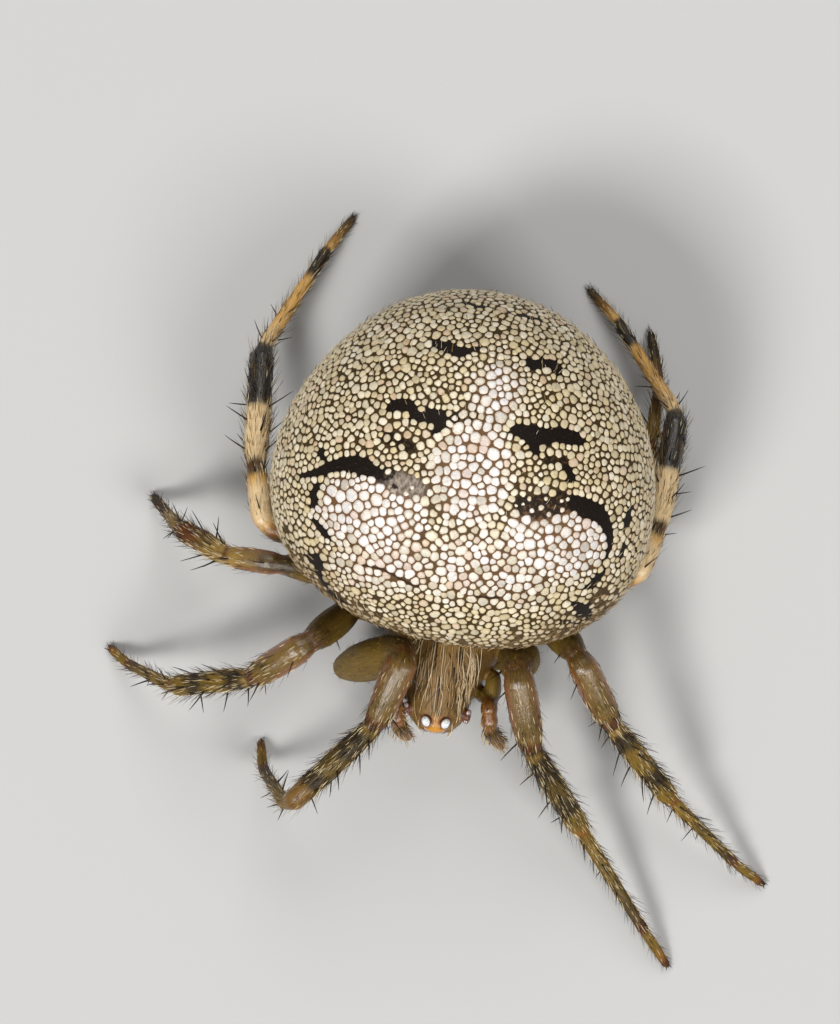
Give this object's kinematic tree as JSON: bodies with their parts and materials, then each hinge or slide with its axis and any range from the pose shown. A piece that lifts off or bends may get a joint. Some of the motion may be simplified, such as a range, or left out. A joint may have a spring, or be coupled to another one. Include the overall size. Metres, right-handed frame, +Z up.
{
  "type": "butterfly orb weaver spider",
  "caption": "Life-size still model of a gravid female butterfly orb weaver: a large mottled globe abdomen over a small hairy head, spiny banded legs spread on the floor.",
  "frame": {"origin": "on the floor, under the middle of the bounding box seen from above", "axes": "+Z up from the floor; -Y is where the head faces, along the body's length; +X is the spider's left side"},
  "size_m": [0.0128, 0.0134, 0.0061],
  "materials": {
    "abdomen": "cream cells in dark reddish-brown lines with black marks, fine gold down",
    "carapace": "olive-brown cuticle under pale gold hairs",
    "femur": "olive cuticle with fine gold hairs",
    "tibia": "glossy red-brown patella and banded dark tibia with black spines",
    "tarsus": "tan with dark rings and dark tips",
    "palp": "glossy red-brown with bristles",
    "eye": "wet black-brown lens",
    "mouthparts": "red-brown cuticle"
  },
  "bodies": {
    "root": {"abdomen": "abdomen", "prosoma": "carapace", "pedicel": "mouthparts", "spinnerets": "mouthparts", "chelicera_L": "mouthparts", "chelicera_R": "mouthparts", "palp_L": "palp", "palp_R": "palp", "eye_front_median_L": "eye", "eye_front_median_R": "eye", "eye_rear_median_L": "eye", "eye_rear_median_R": "eye", "eye_front_lateral_L": "eye", "eye_front_lateral_R": "eye", "eye_rear_lateral_L": "eye", "eye_rear_lateral_R": "eye", "leg_L1_coxa": "femur", "leg_L1_femur": "femur", "leg_L1_tibia": "tibia", "leg_L1_tarsus": "tarsus", "leg_L2_coxa": "femur", "leg_L2_femur": "femur", "leg_L2_tibia": "tibia", "leg_L2_tarsus": "tarsus", "leg_L3_coxa": "femur", "leg_L3_femur": "femur", "leg_L3_tibia": "tibia", "leg_L3_tarsus": "tarsus", "leg_L4_coxa": "femur", "leg_L4_femur": "femur", "leg_L4_tibia": "tibia", "leg_L4_tarsus": "tarsus", "leg_R1_coxa": "femur", "leg_R1_femur": "femur", "leg_R1_tibia": "tibia", "leg_R1_tarsus": "tarsus", "leg_R2_coxa": "femur", "leg_R2_femur": "femur", "leg_R2_tibia": "tibia", "leg_R2_tarsus": "tarsus", "leg_R3_coxa": "femur", "leg_R3_femur": "femur", "leg_R3_tibia": "tibia", "leg_R3_tarsus": "tarsus", "leg_R4_coxa": "femur", "leg_R4_femur": "femur", "leg_R4_tibia": "tibia", "leg_R4_tarsus": "tarsus"}
  },
  "joints": []
}
